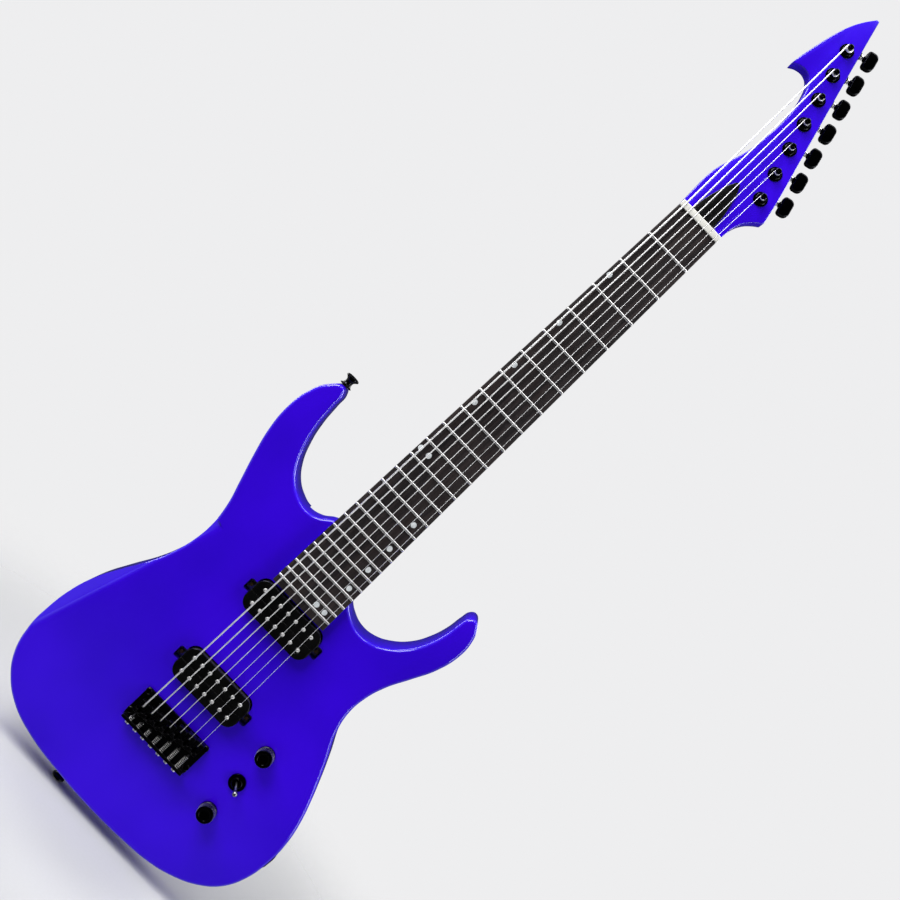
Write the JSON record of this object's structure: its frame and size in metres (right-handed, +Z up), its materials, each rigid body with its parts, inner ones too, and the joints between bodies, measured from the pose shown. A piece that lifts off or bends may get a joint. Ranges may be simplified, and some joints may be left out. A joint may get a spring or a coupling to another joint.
{
  "type": "electric guitar",
  "caption": "Solid-body electric guitar with extended-range strings, twin horns, two double-coil pickups, fixed string-through bridge and a pointed reverse in-line headstock.",
  "frame": {"origin": "middle of the nut's fingerboard edge, on the plane under the fingerboard, where a wall hanger's fork takes the neck", "axes": "+Z up the neck towards the headstock, -Y out of the face, +X towards the thin strings and the tuner buttons"},
  "size_m": [0.3252, 0.0879, 1.0724],
  "materials": {
    "blue_lacquer": "deep ultramarine high-gloss lacquer over wood",
    "ebony": "oiled dark open grain",
    "bone_white": "polished off-white",
    "string_steel": "bright wound and plain wire",
    "black_plastic": "black, semi-gloss",
    "nickel_silver": "dull stamped sheet",
    "zinc_steel": "plated",
    "black_metal": "black plated, satin gloss"
  },
  "bodies": {
    "guitar": {"body": "blue_lacquer", "neck": "blue_lacquer", "fretboard": "ebony", "nut": "bone_white", "truss_rod_cover": "black_plastic", "bridge_plate": "black_metal", "string_ferrule_plate": "black_metal", "control_cavity_cover": "black_plastic", "string_1": "string_steel", "string_2": "string_steel", "string_3": "string_steel", "string_4": "string_steel", "string_5": "string_steel", "string_6": "string_steel", "string_7": "string_steel", "tuner_housing_1": "black_metal", "tuner_housing_2": "black_metal", "tuner_housing_3": "black_metal", "tuner_housing_4": "black_metal", "tuner_housing_5": "black_metal", "tuner_housing_6": "black_metal", "tuner_housing_7": "black_metal", "neck_pickup_base": "nickel_silver", "neck_pickup_bobbin_a": "black_plastic", "neck_pickup_bobbin_b": "black_plastic", "bridge_pickup_base": "nickel_silver", "bridge_pickup_bobbin_a": "black_plastic", "bridge_pickup_bobbin_b": "black_plastic", "potentiometer_1": "zinc_steel", "potentiometer_2": "zinc_steel", "switch_body": "black_metal", "output_jack": "black_metal", "strap_button_horn": "black_metal", "strap_button_tail": "black_metal"},
    "tuner_button_1": {"tuner_button_1": "black_metal"},
    "tuner_post_1": {"tuner_post_1": "black_metal"},
    "tuner_button_2": {"tuner_button_2": "black_metal"},
    "tuner_post_2": {"tuner_post_2": "black_metal"},
    "tuner_button_3": {"tuner_button_3": "black_metal"},
    "tuner_post_3": {"tuner_post_3": "black_metal"},
    "tuner_button_4": {"tuner_button_4": "black_metal"},
    "tuner_post_4": {"tuner_post_4": "black_metal"},
    "tuner_button_5": {"tuner_button_5": "black_metal"},
    "tuner_post_5": {"tuner_post_5": "black_metal"},
    "tuner_button_6": {"tuner_button_6": "black_metal"},
    "tuner_post_6": {"tuner_post_6": "black_metal"},
    "tuner_button_7": {"tuner_button_7": "black_metal"},
    "tuner_post_7": {"tuner_post_7": "black_metal"},
    "saddle_1": {"saddle_1": "black_metal"},
    "saddle_2": {"saddle_2": "black_metal"},
    "saddle_3": {"saddle_3": "black_metal"},
    "saddle_4": {"saddle_4": "black_metal"},
    "saddle_5": {"saddle_5": "black_metal"},
    "saddle_6": {"saddle_6": "black_metal"},
    "saddle_7": {"saddle_7": "black_metal"},
    "control_knob_1": {"control_knob_1": "black_metal"},
    "control_knob_2": {"control_knob_2": "black_metal"},
    "switch_lever": {"switch_lever": "black_metal"}
  },
  "joints": [
    {"name": "tuner_button_1_turn", "type": "hinge", "parent": "guitar", "child": "tuner_button_1", "pos_m": [-0.02313, 0.06393, 0.22903], "axis": [0.9657, 0.0495, 0.2549], "continuous": true},
    {"name": "tuner_post_1_turn", "type": "hinge", "parent": "guitar", "child": "tuner_post_1", "pos_m": [-0.0195, 0.04161, 0.21959], "axis": [0, -0.9816, 0.1908], "continuous": true},
    {"name": "tuner_button_2_turn", "type": "hinge", "parent": "guitar", "child": "tuner_button_2", "pos_m": [-0.01583, 0.05874, 0.20238], "axis": [0.9657, 0.0495, 0.2549], "continuous": true},
    {"name": "tuner_post_2_turn", "type": "hinge", "parent": "guitar", "child": "tuner_post_2", "pos_m": [-0.0122, 0.03644, 0.19294], "axis": [0, -0.9816, 0.1908], "continuous": true},
    {"name": "tuner_button_3_turn", "type": "hinge", "parent": "guitar", "child": "tuner_button_3", "pos_m": [-0.00853, 0.05357, 0.17573], "axis": [0.9657, 0.0495, 0.2549], "continuous": true},
    {"name": "tuner_post_3_turn", "type": "hinge", "parent": "guitar", "child": "tuner_post_3", "pos_m": [-0.0049, 0.03125, 0.16629], "axis": [0, -0.9816, 0.1908], "continuous": true},
    {"name": "tuner_button_4_turn", "type": "hinge", "parent": "guitar", "child": "tuner_button_4", "pos_m": [-0.00123, 0.04838, 0.14908], "axis": [0.9657, 0.0495, 0.2549], "continuous": true},
    {"name": "tuner_post_4_turn", "type": "hinge", "parent": "guitar", "child": "tuner_post_4", "pos_m": [0.0024, 0.02607, 0.13964], "axis": [0, -0.9816, 0.1908], "continuous": true},
    {"name": "tuner_button_5_turn", "type": "hinge", "parent": "guitar", "child": "tuner_button_5", "pos_m": [0.00607, 0.0432, 0.12242], "axis": [0.9657, 0.0495, 0.2549], "continuous": true},
    {"name": "tuner_post_5_turn", "type": "hinge", "parent": "guitar", "child": "tuner_post_5", "pos_m": [0.0097, 0.02089, 0.11299], "axis": [0, -0.9816, 0.1908], "continuous": true},
    {"name": "tuner_button_6_turn", "type": "hinge", "parent": "guitar", "child": "tuner_button_6", "pos_m": [0.01337, 0.03802, 0.09577], "axis": [0.9657, 0.0495, 0.2549], "continuous": true},
    {"name": "tuner_post_6_turn", "type": "hinge", "parent": "guitar", "child": "tuner_post_6", "pos_m": [0.017, 0.01571, 0.08634], "axis": [0, -0.9816, 0.1908], "continuous": true},
    {"name": "tuner_button_7_turn", "type": "hinge", "parent": "guitar", "child": "tuner_button_7", "pos_m": [0.02066, 0.03284, 0.06912], "axis": [0.9657, 0.0495, 0.2549], "continuous": true},
    {"name": "tuner_post_7_turn", "type": "hinge", "parent": "guitar", "child": "tuner_post_7", "pos_m": [0.0243, 0.01053, 0.05969], "axis": [0, -0.9816, 0.1908], "continuous": true},
    {"name": "saddle_1_slide", "type": "slide", "parent": "guitar", "child": "saddle_1", "axis": [0, 0, 1], "range_m": [-0.0015, 0.0035]},
    {"name": "saddle_2_slide", "type": "slide", "parent": "guitar", "child": "saddle_2", "axis": [0, 0, 1], "range_m": [-0.0015, 0.0035]},
    {"name": "saddle_3_slide", "type": "slide", "parent": "guitar", "child": "saddle_3", "axis": [0, 0, 1], "range_m": [-0.0015, 0.0035]},
    {"name": "saddle_4_slide", "type": "slide", "parent": "guitar", "child": "saddle_4", "axis": [0, 0, 1], "range_m": [-0.0015, 0.0035]},
    {"name": "saddle_5_slide", "type": "slide", "parent": "guitar", "child": "saddle_5", "axis": [0, 0, 1], "range_m": [-0.0015, 0.0035]},
    {"name": "saddle_6_slide", "type": "slide", "parent": "guitar", "child": "saddle_6", "axis": [0, 0, 1], "range_m": [-0.0015, 0.0035]},
    {"name": "saddle_7_slide", "type": "slide", "parent": "guitar", "child": "saddle_7", "axis": [0, 0, 1], "range_m": [-0.0015, 0.0035]},
    {"name": "control_knob_1_turn", "type": "hinge", "parent": "guitar", "child": "control_knob_1", "pos_m": [0.0828, 0, -0.6373], "axis": [0, -1, 0], "range_deg": [-150, 150]},
    {"name": "control_knob_2_turn", "type": "hinge", "parent": "guitar", "child": "control_knob_2", "pos_m": [0.0828, 0, -0.7152], "axis": [0, -1, 0], "range_deg": [-150, 150]},
    {"name": "switch_lever_throw", "type": "hinge", "parent": "guitar", "child": "switch_lever", "pos_m": [0.0828, -0.001, -0.6757], "axis": [0.5736, 0, 0.8191], "range_deg": [-48, 0]}
  ],
  "couplings": [
    {"joint": "tuner_post_1_turn", "follows": "tuner_button_1_turn", "ratio": 0.055556},
    {"joint": "tuner_post_2_turn", "follows": "tuner_button_2_turn", "ratio": 0.055556},
    {"joint": "tuner_post_3_turn", "follows": "tuner_button_3_turn", "ratio": 0.055556},
    {"joint": "tuner_post_4_turn", "follows": "tuner_button_4_turn", "ratio": 0.055556},
    {"joint": "tuner_post_5_turn", "follows": "tuner_button_5_turn", "ratio": 0.055556},
    {"joint": "tuner_post_6_turn", "follows": "tuner_button_6_turn", "ratio": 0.055556},
    {"joint": "tuner_post_7_turn", "follows": "tuner_button_7_turn", "ratio": 0.055556}
  ]
}
